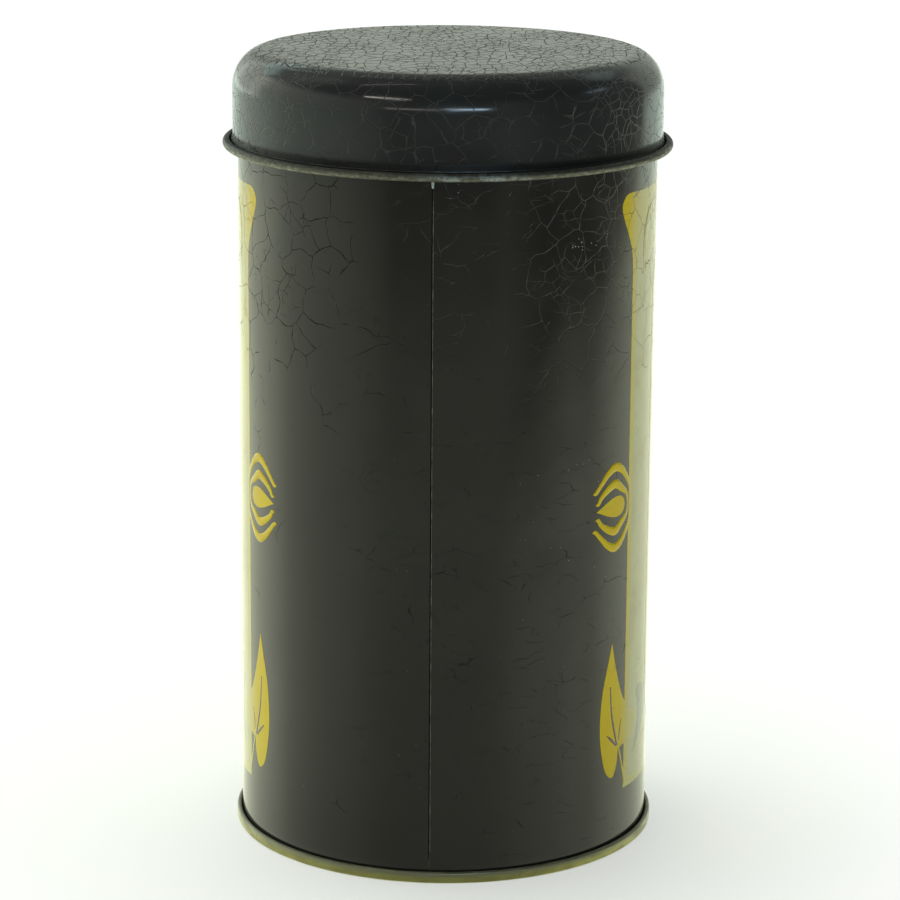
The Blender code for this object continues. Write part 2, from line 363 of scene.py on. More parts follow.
def cream_ink():
    finish, n, shader, place = new_finish("cream_field")
    foxing = n.ramp(n.noise(place, 80.0, 5.0, 0.6), 0.4, 0.75)
    base = n.mix(foxing, (0.48, 0.475, 0.25), (0.40, 0.385, 0.18))
    shader.inputs["Specular IOR Level"].default_value = 0.22
    varnish(n, shader, place, body_crackle(n, place), base, (0.25, 0.22, 0.11))
    return finish


def line_ink(name, grain, detail, deep, light):
    """A flat ink with a little grain, between a deep and a light tone."""
    finish, n, shader, place = new_finish(name)
    base = n.mix(n.noise(place, grain, detail), deep, light)
    varnish(n, shader, place, body_crackle(n, place), base, (0.09, 0.07, 0.03))
    return finish


def dark_ink():
    tones = (0.085, 0.050, 0.026), (0.130, 0.080, 0.038)
    return line_ink("brown_vein_print", 300.0, 2.0, *tones)


def sage_ink():
    tones = (0.14, 0.17, 0.10), (0.23, 0.25, 0.15)
    return line_ink("sage_print", 200.0, 3.0, *tones)


def pale_spots():
    # Pale chips in the varnish, and the painted highlight at the seam's top.
    finish, n, shader, place = new_finish("pale_flakes_and_glint")
    base = n.mix(n.noise(place, 900.0), (0.16, 0.22, 0.21), (0.42, 0.50, 0.48))
    coat(n, shader, base, n.ramp(n.noise(place, 1500.0), 0.3, 0.7, 0.45, 0.7))
    return finish


def bare_tin():
    """The lid's rolled edge and its inside: tinplate worn, tarnished and spotted, with a painted reflection
    of the window lamp on the roll in front, a painted reflection of the dark lid on the roll's upper half,
    and painted shade up the inside.
    """
    finish, n, shader, place = new_finish("bare_tinplate")
    x, y, z = n.parts(place)
    turn = n.times(n.maths("ARCTAN2", x, n.times(y, -1.0)), WALL_RADIUS)
    drawn = n.joined(turn, n.times(z, 2.0), 0.0)
    worn = n.ramp(n.noise(drawn, 650.0, 5.0, 0.7), 0.40, 0.72)
    # A bluish-white patch on the roll just right of the seam, in front: painted reflection of the window
    # lamp.
    window_reflection = n.ramp(n.maths("ABSOLUTE", n.minus(turn, 10 * MM)), 16 * MM, 6 * MM)
    window_reflection = n.times(window_reflection, n.ramp(n.noise(place, 500.0, 3.0), 0.35, 0.6))
    spots = n.ramp(n.noise(place, 1100.0, 4.0, 0.7), 0.51, 0.63)
    base = n.mix(worn, (0.13, 0.13, 0.095), (0.30, 0.31, 0.27))
    base = n.mix(n.times(window_reflection, 0.8), base, (0.42, 0.48, 0.48))
    base = n.mix(n.times(spots, 0.7), base, (0.035, 0.030, 0.020))
    # Darker over the upper half of the roll, a painted reflection of the dark lid above it, and up the lid's
    # inside, painted shade.
    upper = n.ramp(z, CURL_HEIGHT - 0.45 * MM, CURL_HEIGHT + 0.55 * MM)
    upper = n.times(upper, n.ramp(z, LID_TOP - 8 * MM, CURL_HEIGHT + 6 * MM))
    base = n.mix(n.times(upper, 0.72), base, (0.035, 0.036, 0.030))
    grain = n.noise(drawn, 700.0, 4.0)
    coat(n, shader, base, n.ramp(worn, 0, 1, 0.52, 0.30), n.ramp(spots, 0, 1, 0.85, 0.2), grain, 0.03 * MM)
    return finish


def gold_tin():
    """The bottom end: tinplate under a yellow-green gold lacquer, greyer and lighter over the upper part of
    the foot's seam.
    """
    finish, n, shader, place = new_finish("gold_lacquered_tinplate")
    x, y, z = n.parts(place)
    turn = n.times(n.maths("ARCTAN2", x, y), WALL_RADIUS)
    drawn = n.joined(turn, n.times(z, 3.0), 0.0)
    tarnish = n.ramp(n.noise(drawn, 120.0, 4.0, 0.6), 0.30, 0.72)
    base = n.mix(tarnish, (0.33, 0.325, 0.115), (0.23, 0.215, 0.070))
    # Greyer and lighter over the upper part of the foot's seam.
    ledge = n.ramp(z, 1.3 * MM, 2.3 * MM)
    radius = n.length(x, y)
    ledge = n.times(ledge, n.ramp(radius, WALL_RADIUS - 0.2 * MM, WALL_RADIUS + 0.1 * MM))
    base = n.mix(n.times(ledge, 0.8), base, (0.20, 0.205, 0.150))
    spots = n.ramp(n.noise(place, 500.0, 4.0, 0.7), 0.62, 0.72)
    base = n.mix(n.times(spots, 0.6), base, (0.06, 0.045, 0.015))
    rough, metallic = n.ramp(tarnish, 0, 1, 0.30, 0.46), n.ramp(tarnish, 0, 1, 0.75, 0.5)
    coat(n, shader, base, rough, metallic, n.noise(drawn, 500.0, 3.0), 0.02 * MM)
    return finish


def grey_solder():
    finish, n, shader, place = new_finish("solder")
    ripples = n.noise(n.vector("MULTIPLY", place, (1.0, 1.0, 2.0)), 800.0, 3.0)
    base = n.mix(ripples, (0.30, 0.31, 0.31), (0.52, 0.53, 0.53))
    coat(n, shader, base, n.ramp(ripples, 0.3, 0.7, 0.32, 0.55), 0.9, ripples, 0.05 * MM)
    return finish


def lining_compound():
    finish, n, shader, place = new_finish("sealing_compound")
    grain = n.noise(place, 1500.0, 3.0)
    base = n.mix(grain, (0.10, 0.095, 0.09), (0.20, 0.19, 0.17))
    coat(n, shader, base, n.ramp(grain, 0.3, 0.7, 0.7, 0.9))
    return finish


# ------------ outlines of the sheets


def arc(centre, radius, start, end, steps, rise=None):
    """Points (r, z) on an arc from start to end, in degrees; of an ellipse if it has a rise of its own."""
    rise = rise or radius
    turn = [math.radians(start + (end - start) * i / steps) for i in range(steps + 1)]
    return [(centre[0] + radius * math.cos(a), centre[1] + rise * math.sin(a)) for a in turn]


def sheet_sides(middle, gauge):
    """The two faces of a sheet, each as (r, z) points, from the points of its middle."""
    points = np.array(middle)
    along = np.diff(points, axis=0)
    along /= np.linalg.norm(along, axis=1)[:, None]
    before = np.vstack([along[:1], along])
    after = np.vstack([along, along[-1:]])
    mean = before + after
    mean /= np.linalg.norm(mean, axis=1)[:, None]
    across = np.column_stack([-mean[:, 1], mean[:, 0]])
    stretch = np.clip((mean * before).sum(1), 0.5, 1.0)[:, None]
    shift = across * gauge / 2 / stretch
    return points + shift, points - shift


def lid_middle():
    half = LID_GAUGE / 2
    top = LID_TOP - half
    skirt = LID_RADIUS - half
    points = [(0.0, top), (LID_PANEL_RADIUS * 0.35, top), (LID_PANEL_RADIUS * 0.7, top)]
    low, high = top - LID_SHOULDER_DROP, CURL_HEIGHT + LID_FLARE
    points += arc((LID_PANEL_RADIUS, low), skirt - LID_PANEL_RADIUS, 90, 0, 28, LID_SHOULDER_DROP)
    curl_centre = (CURL_OUTSIDE - CURL_RADIUS, CURL_HEIGHT)
    curl = arc(curl_centre, CURL_RADIUS - half, 180, 480, 36)
    points += [(skirt, low + (high - low) * i / 4) for i in range(1, 5)]
    lean = [i / 6 for i in range(1, 6)]
    points += [(skirt + (curl[0][0] - skirt) * t * t, high + (curl[0][1] - high) * t) for t in lean]
    return points + curl


def end_middle():
    half = END_GAUGE / 2
    chuck = WALL_MIDDLE - SEAM_PITCH
    outer = WALL_MIDDLE + 3 * SEAM_PITCH
    points = [(0.0, END_PANEL_HEIGHT)]
    for bead in reversed(END_BEADS):
        for i in range(13):
            t = i / 12
            rise = END_BEAD_RISE * (0.5 - 0.5 * math.cos(math.tau * t))
            points.append((bead + END_BEAD_WIDTH * (2 * t - 1), END_PANEL_HEIGHT + rise))
    bend = 0.8 * MM
    points += arc((chuck - bend, END_PANEL_HEIGHT - bend), bend, 90, 0, 8)
    points += arc((chuck + FOOT_CORNER, half + FOOT_CORNER), FOOT_CORNER, 180, 270, 8)
    points += arc((outer - FOOT_CORNER, half + FOOT_CORNER), FOOT_CORNER, 270, 360, 8)
    points += arc((outer - SEAM_PITCH, SEAM_TOP - half - SEAM_PITCH), SEAM_PITCH, 0, 180, 14)
    return points + [(outer - 2 * SEAM_PITCH, 1.05 * MM)]


def wall_middle():
    bend_centre = (WALL_MIDDLE + SEAM_PITCH, WALL_GAUGE / 2 + 2 * SEAM_PITCH + 0.06 * MM)
    curl_centre = (WALL_MIDDLE + MOUTH_ROLL, MOUTH_TOP - WALL_GAUGE / 2 - MOUTH_ROLL)
    low, high = LOCK_BOTTOM, LOCK_TOP
    points = [(HOOK_RADIUS, HOOK_TIP)] + arc(bend_centre, SEAM_PITCH, 0, -180, 12)
    points += [(WALL_MIDDLE, low + (high - low) * i / 60) for i in range(61)]
    return points + arc(curl_centre, MOUTH_ROLL, 180, -80, 16)


# ------------ geometry node trees


def new_tree(name, inputs):
    """A geometry node tree with these (name, socket type, value) inputs after its Geometry."""
    tree = bpy.data.node_groups.new(name, "GeometryNodeTree")
    tree.interface.new_socket("Geometry", in_out="INPUT", socket_type="NodeSocketGeometry")
    for label, kind, value in inputs:
        socket = tree.interface.new_socket(label, in_out="INPUT", socket_type="NodeSocket" + kind)
        if value is not None:
            socket.default_value = value
    tree.interface.new_socket("Geometry", in_out="OUTPUT", socket_type="NodeSocketGeometry")
    n = Nodes(tree)
    return tree, n, n.add("NodeGroupInput").outputs, n.add("NodeGroupOutput").inputs


def closed_tree(tree, n, out, skin, finish):
    """Ends a tree with its skin, as plain geometry."""
    skin = n.shape("SetMaterial", {"Geometry": skin, "Material": finish})
    n.put(out["Geometry"], n.shape("RealizeInstances", {"Geometry": skin}))
    return tree


def dent_inputs(depth=0.06 * MM, low=SEAM_TOP, high=LOCK_TOP):
    """What a tree asks for to make dents so deep between a low and a high place."""
    sizes = (("Dent depth", depth), ("Dent size", 40 * MM), ("Low", low), ("High", high))
    return tuple((name, "Float", value) for name, value in sizes)


def handling_dents(n, geometry, given):
    """Moves points towards the axis by a soft noise, fading to nothing at the low and high heights."""
    depth, size, low, high = (given[name] for name in ("Dent depth", "Dent size", "Low", "High"))
    place = n.shape("InputPosition")
    x, y, z = n.parts(place)
    fade = n.times(n.ramp(z, low, n.plus(low, size)), n.ramp(z, high, n.minus(high, size)))
    soft = n.noise(place, n.over(1.0, size), 1.0)
    direction = n.vector("NORMALIZE", n.joined(x, y, 0.0))
    shift = n.scaled(direction, n.times(soft, fade, depth, -1.0))
    return n.shape("SetPosition", {"Geometry": geometry, "Offset": shift})


def turning_tree():
    """Turns a row of points, a sheet's outline, about Z into one closed skin."""
    inputs = (("Steps round", "Int", 240), *dent_inputs(), ("Finish", "Material", None))
    tree, n, given, out = new_tree("Turned tinplate", inputs)
    outline = given["Geometry"]
    rows = n.add("GeometryNodeAttributeDomainSize", {"Geometry": outline}).outputs["Point Count"]
    columns = n.plus(given["Steps round"], 1)
    grid = n.add("GeometryNodeMeshGrid", {"Vertices X": columns, "Vertices Y": rows}).outputs["Mesh"]
    index = n.shape("InputIndex")
    row = n.maths("MODULO", index, rows)
    column = n.maths("FLOOR", n.over(index, rows))
    place = n.shape("InputPosition")
    sampled = n.add("GeometryNodeSampleIndex", data_type="FLOAT_VECTOR")
    n.put(sampled.inputs["Geometry"], outline)
    n.put(sampled.inputs["Value"], place)
    n.put(sampled.inputs["Index"], row)
    radius, _, height = n.parts(sampled.outputs[0])
    turn = n.times(n.over(column, given["Steps round"]), math.tau)
    x = n.times(radius, n.maths("COSINE", turn))
    y = n.times(radius, n.maths("SINE", turn))
    skin = n.shape("SetPosition", {"Geometry": grid, "Position": n.joined(x, y, height)})
    skin = n.shape("MergeByDistance", {"Geometry": skin, "Distance": 0.001 * MM})
    skin = handling_dents(n, skin, given)
    skin = n.shape("SetShadeSmooth", {"Geometry": skin})
    return closed_tree(tree, n, out, skin, given["Finish"])


def made_by(tree, source, name, **values):
    """The plain mesh object that a tree makes from a source object, which is then removed."""
    modifier = source.modifiers.new(tree.name, "NODES")
    modifier.node_group = tree
    for item in tree.interface.items_tree:
        if item.in_out == "INPUT" and item.name in values:
            modifier[item.identifier] = values.pop(item.name)
    assert not values, f"{tree.name} has no input named {sorted(values)}"
    bpy.context.view_layer.update()
    evaluated = source.evaluated_get(bpy.context.evaluated_depsgraph_get())
    mesh = bpy.data.meshes.new_from_object(evaluated)
    bpy.data.objects.remove(source)
    mesh.name = name
    return linked(name, mesh)


def row_of_points(name, points):
    """An object whose mesh is a chain of points, given as (r, z)."""
    steps = [(i, i + 1) for i in range(len(points) - 1)]
    return linked(name, plain_mesh(name, [(r, 0.0, z) for r, z in points], steps))


def turn_out(made):
    """Makes the faces of a closed mesh point outwards."""
    mesh = made.data
    mesh.calc_loop_triangles()
    corners = np.array([[mesh.vertices[i].co for i in t.vertices] for t in mesh.loop_triangles])
    if np.linalg.det(corners).sum() < 0:
        mesh.flip_normals()


# ------------ pieces


def finish_by_place(made, finishes, choose):
    """Gives a mesh these finishes, and each face the one that choose names from its centre."""
    made.data.materials.clear()
    for finish in finishes:
        made.data.materials.append(finish)
    for face in made.data.polygons:
        face.material_index = choose(face)


def turned_piece(name, middle, gauge, finish, steps, dent_depth, low, high):
    outer, inner = sheet_sides(middle, gauge)
    outline = [tuple(p) for p in outer] + [tuple(p) for p in inner[::-1]]
    outline = [(max(r, 0.0), z) for r, z in outline]
    values = {"Steps round": steps, "Dent depth": dent_depth, "Low": low, "High": high, "Finish": finish}
    made = made_by(TURNING, row_of_points(name, outline), name, **values)
    turn_out(made)
    return made


def make_lid(black, tin):
    made = turned_piece("lid_shell", lid_middle(), LID_GAUGE, black, 288, 0.05 * MM, CURL_HEIGHT, LID_TOP)
    bare_below = CURL_HEIGHT + 0.9 * MM
    inside = LID_RADIUS - 0.7 * LID_GAUGE
    shoulder = LID_TOP - LID_SHOULDER_DROP

    def choose(face):
        centre = face.center
        radius = math.hypot(centre.x, centre.y)
        under = centre.z > bare_below and face.normal.z < -0.2
        inner = face.normal.xy.dot(centre.xy) < 0 and radius < inside and centre.z < shoulder
        return 1 if centre.z < bare_below or under or inner else 0

    finish_by_place(made, (black, tin), choose)
    return made


def make_bottom_end(gold):
    return turned_piece("bottom_end_shell", end_middle(), END_GAUGE, gold, 288, 0.0, 0.0, SEAM_TOP)


def groove(across):
    """Depth of the outer face at a distance across the lock seam."""
    if across < GROOVE_FLOOR:
        t = held((GROOVE_FLOOR - across) / GROOVE_DIVE)
        return GROOVE_DEPTH * (1 - t * t * (3 - 2 * t))
    reach = across - GROOVE_FLOOR
    if reach >= FOLD_RADIUS:
        return 0.0
    return GROOVE_DEPTH * (1 - math.sqrt(1 - (1 - reach / FOLD_RADIUS) ** 2))


def lock_rise(across):
    """How far the inner face stands in at a distance across the lock seam."""
    ramp = 0.35 * MM
    return LOCK_RISE * min(held((across + 1.0 * MM) / ramp), held((LOCK_END - across) / ramp))


def wall_angles():
    """Angles round the wall from the seam, close together where the lock seam is."""
    near = [0.05 * MM * i for i in range(-22, 10)]
    near += [GROOVE_FLOOR + FOLD_RADIUS * f for f in (0.0, 0.02, 0.08)]
    near += [LOCK_END - 0.35 * MM, LOCK_END, 3.0 * MM, 2.0 * MM, 1.0 * MM, 0.6 * MM]
    edge = 5.0 * MM
    steps = 300
    rest = [edge + (2 * HALF_ROUND - edge - 1.2 * MM) * i / steps for i in range(steps)]
    along = sorted(a % (2 * HALF_ROUND) for a in near + rest)
    return [a / WALL_RADIUS for a in along]


def make_wall(black, gold):
    """The body: one rolled sheet with its lock seam, mouth curl and body hook, as a closed skin."""
    outer, inner = sheet_sides(wall_middle(), WALL_GAUGE)
    rows = [(r, z, False) for r, z in inner] + [(r, z, True) for r, z in outer[::-1]]
    turns = wall_angles()
    verts = []
    for turn in turns:
        across = turn * WALL_RADIUS
        across -= 2 * HALF_ROUND if across > HALF_ROUND else 0.0
        for radius, height, is_inner in rows:
            on_wall = held((height - LOCK_BOTTOM) / LOCK_FADE) * held((LOCK_TOP - height) / LOCK_FADE)
            depth = lock_rise(across) if is_inner else groove(across) * (0.25 + 0.75 * on_wall)
            depth *= on_wall if is_inner else float(height > SEAM_TOP)
            verts.append(((radius - depth) * math.sin(turn), (depth - radius) * math.cos(turn), height))
    faces = []
    for here in range(len(turns)):
        this, following = here * len(rows), (here + 1) % len(turns) * len(rows)
        for k in range(len(rows)):
            above = (k + 1) % len(rows)
            faces.append((this + k, following + k, following + above, this + above))
    mesh = plain_mesh("body_shell", verts, faces=faces)
    mesh.shade_smooth()
    made = made_by(DENTING, linked("body_shell", mesh), "body_shell")
    turn_out(made)

    def choose(face):
        inside = face.center.xy.length < WALL_RADIUS - 0.6 * WALL_GAUGE
        return int(inside and face.normal.xy.dot(face.center.xy.normalized()) < -0.5)

    finish_by_place(made, (black, gold), choose)
    return made


def denting_tree():
    """Gives a finished sheet the soft dents of handling."""
    tree, n, given, out = new_tree("Handling dents", dent_inputs())
    n.put(out["Geometry"], handling_dents(n, given["Geometry"], given))
    return tree


# ------------ print


def smooth_line(points, steps=8):
    """Points on a smooth line through these points (Catmull-Rom)."""
    given = [np.array(p, float) for p in points]
    given = [2 * given[0] - given[1]] + given + [2 * given[-1] - given[-2]]
    line = []
    for a, b, c, d in zip(given, given[1:], given[2:], given[3:]):
        square, cube = 2 * a - 5 * b + 4 * c - d, 3 * b - a - 3 * c + d
        for i in range(steps):
            t = i / steps
            line.append(0.5 * (2 * b + (c - a) * t + square * t**2 + cube * t**3))
    return [tuple(p) for p in line + [given[-2]]]


def wrapping_tree():
    """Lays a flat print, drawn as (along, height), on the wall: a thin closed film, and its mirror image."""
    inputs = (("Lift", "Float", 0.02 * MM), ("Both sides", "Bool", False), ("Finish", "Material", None))
    tree, n, given, out = new_tree("Print wrapped on the wall", inputs + dent_inputs())
    flat = given["Geometry"]
    flip = {"Geometry": flat, "Scale": (-1.0, 1.0, 1.0), "Translation": (-LEFT_SHIFT * MM, 0.0, 0.0)}
    mirrored = n.shape("Transform", flip)
    chosen = n.shape("Switch", {"Switch": given["Both sides"], "True": mirrored}, input_type="GEOMETRY")
    joined = n.add("GeometryNodeJoinGeometry")
    for part in (n.shape("FlipFaces", {"Mesh": chosen}), flat):
        tree.links.new(part, joined.inputs[0])
    film = joined.outputs[0]
    rise = {"Offset": (0.0, 0.0, 1.0), "Offset Scale": given["Lift"], "Individual": False}
    up = n.add("GeometryNodeExtrudeMesh", {"Mesh": film, **rise})
    closed = n.add("GeometryNodeJoinGeometry")
    for part in (n.shape("FlipFaces", {"Mesh": film}), up.outputs["Mesh"]):
        tree.links.new(part, closed.inputs[0])
    skin = n.shape("MergeByDistance", {"Geometry": closed.outputs[0], "Distance": 0.0005 * MM})
    along, height, lift = n.parts(n.shape("InputPosition"))
    turn = n.over(along, WALL_RADIUS)
    radius = n.plus(lift, WALL_RADIUS)
    x = n.times(radius, n.maths("SINE", turn))
    y = n.times(radius, n.maths("COSINE", turn), -1.0)
    skin = n.shape("SetPosition", {"Geometry": skin, "Position": n.joined(x, y, height)})
    skin = handling_dents(n, skin, given)
    return closed_tree(tree, n, out, skin, given["Finish"])


def stroke_tree():
    """Makes flat brush strokes along lines of points, as wide at each point as its Width says."""
    tree, n, given, out = new_tree("Brush strokes", (("Step", "Float", 0.5 * MM),))
    width = n.shape("InputNamedAttribute", {"Name": "Width"}, data_type="FLOAT")
    lines = n.shape("MeshToCurve", {0: given["Geometry"]})
    lines = n.shape("SetCurveRadius", {"Curve": lines, "Radius": width})
    lines = n.shape("ResampleCurve", {"Curve": lines, "Length": given["Step"]}, mode="LENGTH")
    lines = n.shape("SetCurveNormal", {"Curve": lines}, mode="Z_UP")
    across = n.shape("CurvePrimitiveLine", {"Start": (-0.5, 0.0, 0.0), "End": (0.5, 0.0, 0.0)})
    across = n.shape("ResampleCurve", {"Curve": across, "Count": 4})
    radius = n.shape("InputRadius")
    ribbon = n.add("GeometryNodeCurveToMesh", {"Curve": lines, "Profile Curve": across})
    if "Scale" in ribbon.inputs:
        n.put(ribbon.inputs["Scale"], radius)
    n.put(out["Geometry"], ribbon.outputs[0])
    return tree


def flat_strokes(strokes):
    """An object of lines, each a list of (along, height, width) points in mm."""
    verts, edges, widths = [], [], []
    for stroke in strokes:
        first = len(verts)
        line = smooth_line(stroke)
        verts += [(x * MM, y * MM, 0.0) for x, y, _ in line]
        widths += [max(w, 0.04) * MM for _, _, w in line]
        edges += [(i, i + 1) for i in range(first, len(verts) - 1)]
    mesh = plain_mesh("flat", verts, edges)
    mesh.attributes.new("Width", "FLOAT", "POINT").data.foreach_set("value", widths)
    return made_by(STROKES, linked("flat", mesh), "flat")


def flat_shapes(outlines):
    """An object of flat filled shapes, each outlined by (along, height) points in mm, cut finely to bend."""
    bm = bmesh.new()
    for outline in outlines:
        bm.faces.new([bm.verts.new((x * MM, y * MM, 0.0)) for x, y in outline])
    low = min(x for outline in outlines for x, _ in outline)
    high = max(x for outline in outlines for x, _ in outline)
    for axis, start, end, gap in ((0, low, high, 1.0), (1, 0.0, 200.0, 6.0)):
        normal = (1.0 - axis, float(axis), 0.0)
        for k in range(math.floor(start / gap) + 1, math.ceil(end / gap)):
            place = tuple(c * k * gap * MM for c in normal)
            everything = bm.verts[:] + bm.edges[:] + bm.faces[:]
            bmesh.ops.bisect_plane(bm, geom=everything, dist=1e-7, plane_co=place, plane_no=normal)
    bmesh.ops.triangulate(bm, faces=[f for f in bm.faces if len(f.verts) > 4])
    for face in bm.faces:
        if face.normal.z < 0:
            face.normal_flip()
    mesh = bpy.data.meshes.new("flat")
    bm.to_mesh(mesh)
    bm.free()
    return linked("flat", mesh)


def printed(name, flat, finish, lift, both_sides):
    """Wraps a flat print on the wall as a finished piece, standing up by its lift in mm."""
    made = made_by(WRAPPING, flat, name, **{"Lift": lift * MM, "Both sides": both_sides, "Finish": finish})
    turn_out(made)
    keep(made, "can", "yellow_print")


def panel_half(edge, corner, foot, sill):
    """The panel's outline on the seam's right, from the middle of its foot to the middle of its top."""
    line = [(MIDDLE, sill), (edge + 26, sill)]
    line += smooth_line([(edge + 10, sill), (edge + 5, sill + 0.35 * (foot - sill)), (edge, foot)])
    line += [(edge, foot + 8), (edge, corner[0][1] - 1.0)]
    return line + smooth_line(corner) + [(edge + 30, corner[-1][1]), (MIDDLE, corner[-1][1])]


def mirrored_shape(half):
    """A closed outline from its half on the seam's right and the same half mirrored, a little farther off."""
    right = [(2 * MIDDLE - x - LEFT_SHIFT * (x < MIDDLE), y) for x, y in half[::-1]]
    outline = []
    for x, y in half + right:
        if not outline or math.hypot(x - outline[-1][0], y - outline[-1][1]) > 0.02:
            outline.append((x, y))
    if math.hypot(outline[0][0] - outline[-1][0], outline[0][1] - outline[-1][1]) < 0.02:
        outline.pop()
    return outline


def placed(points, place, turn, size=1.0):
    """Points turned by an angle in degrees and moved to a place."""
    c, s = math.cos(math.radians(turn)) * size, math.sin(math.radians(turn)) * size
    return [(place[0] + x * c - y * s, place[1] + x * s + y * c) + tuple(rest) for x, y, *rest in points]


def drop_shape(length, height):
    """A drop with its point at the origin, lying along +X."""
    steps = 40
    turns = [math.tau * i / steps for i in range(steps)]
    return [(length * (1 - math.cos(t)) / 2, height * math.sin(t) * math.sin(t / 2) ** 1.4) for t in turns]


def heart_leaf():
    """A heart-shaped leaf seen half from its side: notch at the origin, tip 29.6 mm up."""
    near = [(0, 0), (-1.0, -4.0), (-3.4, -7.0), (-6.2, -4.6), (-7.4, 2.0)]
    near += [(-7.2, 9.0), (-5.3, 17.4), (-2.2, 24.6), (0, 29.6)]
    far = [(0, 29.6), (1.1, 22.0), (3.3, 14.0), (6.6, 9.2), (10.0, 6.9)]
    far += [(10.6, 3.8), (8.0, 1.0), (4.6, 0.2), (0, 0)]
    return smooth_line(near)[:-1] + smooth_line(far)[:-1]


def pointed_leaf(length, width):
    """A narrow pointed leaf with its foot at the origin, standing along +Y."""
    side = [(width / 2 * math.sin(math.pi * (i / 12) ** 0.8), length * i / 12) for i in range(13)]
    return side + [(-x, y) for x, y in side[-2:0:-1]]


def scatter_tree():
    """Scatters small flakes over flat patches."""
    inputs = (("Count", "Int", 10), ("Size", "Float", 0.2 * MM), ("Seed", "Int", 1))
    tree, n, given, out = new_tree("Chipped spots", inputs)
    where = {"Mesh": given["Geometry"], "Density": 4e6, "Seed": given["Seed"]}
    points = n.add("GeometryNodeDistributePointsOnFaces", where)
    drawn = n.add("FunctionNodeRandomValue", {"Seed": given["Seed"]}, data_type="FLOAT").outputs[1]
    total = n.shape("AttributeDomainSize", {"Geometry": points.outputs[0]}, component="POINTCLOUD")
    wanted = n.over(given["Count"], n.most(total, 1.0))
    surplus = n.maths("GREATER_THAN", drawn, wanted)
    kept = n.shape("DeleteGeometry", {"Geometry": points.outputs[0], "Selection": surplus})
    flake = n.shape("MeshCircle", {"Vertices": 5, "Radius": 1.0}, fill_type="NGON")
    sizes = {"Min": (0.3, 0.3, 1.0), "Max": (1.3, 1.0, 1.0)}
    size = n.add("FunctionNodeRandomValue", sizes, data_type="FLOAT_VECTOR")
    turns = {"Min": (0.0, 0.0, 0.0), "Max": (0.0, 0.0, 6.3)}
    turn = n.add("FunctionNodeRandomValue", turns, data_type="FLOAT_VECTOR")
    size = n.scaled(size.outputs[0], given["Size"])
    inputs = {"Points": kept, "Instance": flake, "Rotation": turn.outputs[0], "Scale": size}
    flakes = n.shape("InstanceOnPoints", inputs)
    n.put(out["Geometry"], n.shape("RealizeInstances", {"Geometry": flakes}))
    return tree


def patch(low, high):
    """A flat patch between two (along, height) corners in mm."""
    corners = [(low[0], low[1]), (high[0], low[1]), (high[0], high[1]), (low[0], high[1])]
    verts = [(x * MM, y * MM, 0.0) for x, y in corners]
    return linked("patch", plain_mesh("patch", verts, faces=[(0, 1, 2, 3)]))


def add_wear_and_glints(pale, tin):
    """Chips in the varnish, a strip of bare tin along the lock seam's fold that is partly a worn edge and
    partly a painted highlight of the light line that edge catches, and a pale spot at the seam's top that is
    a painted highlight.
    """
    for name, low, high, count, size, seed in (
        ("chips_high", (36.0, 160.8), (45.0, 165.5), 18, 0.20, 3),
        ("chips_mouth", (3.2, 176.5), (6.5, 179), 3, 0.16, 5),
        ("chips_low", (22, 62), (52, 112), 16, 0.13, 8),
        ("chips_wide", (-50, 12), (55, 170), 26, 0.09, 13),
    ):
        values = {"Count": count, "Size": size * MM, "Seed": seed}
        printed(name, made_by(SCATTER, patch(low, high), name, **values), pale, 0.05, False)
    # A strip of bare tin along the fold's rounded edge: partly a worn edge, partly a painted highlight for
    # the light line that edge catches.
    seam = [(0.17, z, 0.10 + 0.06 * math.sin(z * 0.9) * math.sin(z * 0.23 + 1.0)) for z in range(8, 178, 2)]
    printed("seam_wear_and_highlight", flat_strokes([seam]), tin, 0.03, False)
    # A pale bluish spot at the top of the seam: painted highlight of the window lamp.
    spot = [(0.0, 181.2, 0.7), (0.0, 180.0, 0.7), (0.0, 178.9, 0.4)]
    printed("seam_top_glint", flat_strokes([spot]), pale, 0.05, False)


def add_panel(yellow, cream):
    """The panel's yellow border, whose upper corners stand out as ears, and its cream field."""
    ear = [(0, 153.5), (-0.4, 158.0), (-1.9, 162.0), (-3.8, 165.6), (-5.5, 169.2), (-5.6, 171.4)]
    ear += [(-3.8, PANEL_TOP - 0.2), (-1.0, PANEL_TOP + 0.2), (4.0, PANEL_TOP)]
    border = panel_half(EDGE, placed(ear, (EDGE, 0), 0), PANEL_FOOT, PANEL_SILL)
    printed("panel_border", flat_shapes([mirrored_shape(border)]), yellow, 0.012, False)
    inner = EDGE + BORDER
    sweep = [(0, 150.0), (0.5, 156.0), (2.6, 161.6), (5.6, 165.6), (10.0, 168.4), (16.0, PANEL_TOP - BORDER)]
    field = panel_half(inner, placed(sweep, (inner, 0), 0), PANEL_FOOT + 2.8, PANEL_SILL + 1.4)
    printed("panel_field", flat_shapes([mirrored_shape(field)]), cream, 0.022, False)



def add_palmette(yellow):
    """Two pairs of bands that spring from the panel's edge, round a drop."""
    middle = (EDGE, 93.4)
    bands = []
    for reach, tip, crest, root in ((15.5, 4.6, 10.6, -0.7), (14.5, 1.6, 6.2, 0.7)):
        upper = [
            (-reach, tip + 0.5, 0.30),
            (-reach + 1.0, tip + 0.5, 1.10),
            (-12.4, tip + 0.36 * (crest - tip) + 0.3, 1.35),
            (-9.6, tip + 0.80 * (crest - tip), 1.9),
            (-6.4, crest, 2.3),
            (-3.4 - root * 0.5, crest - 1.6, 1.9),
            (-root - 0.5, crest * 0.45, 1.2),
        ]
        lower = [(x, -y, w) for x, y, w in upper[::-1]]
        bands.append(placed(upper + [(-root, 0.0, 0.60)] + lower, middle, 0))
    printed("palmette_bands", flat_strokes(bands), yellow, 0.024, True)
    drop = placed(drop_shape(12.2, 3.8), (EDGE - 14.3, middle[1] + 0.1), 0)
    printed("palmette_drop", flat_shapes([drop]), yellow, 0.024, True)


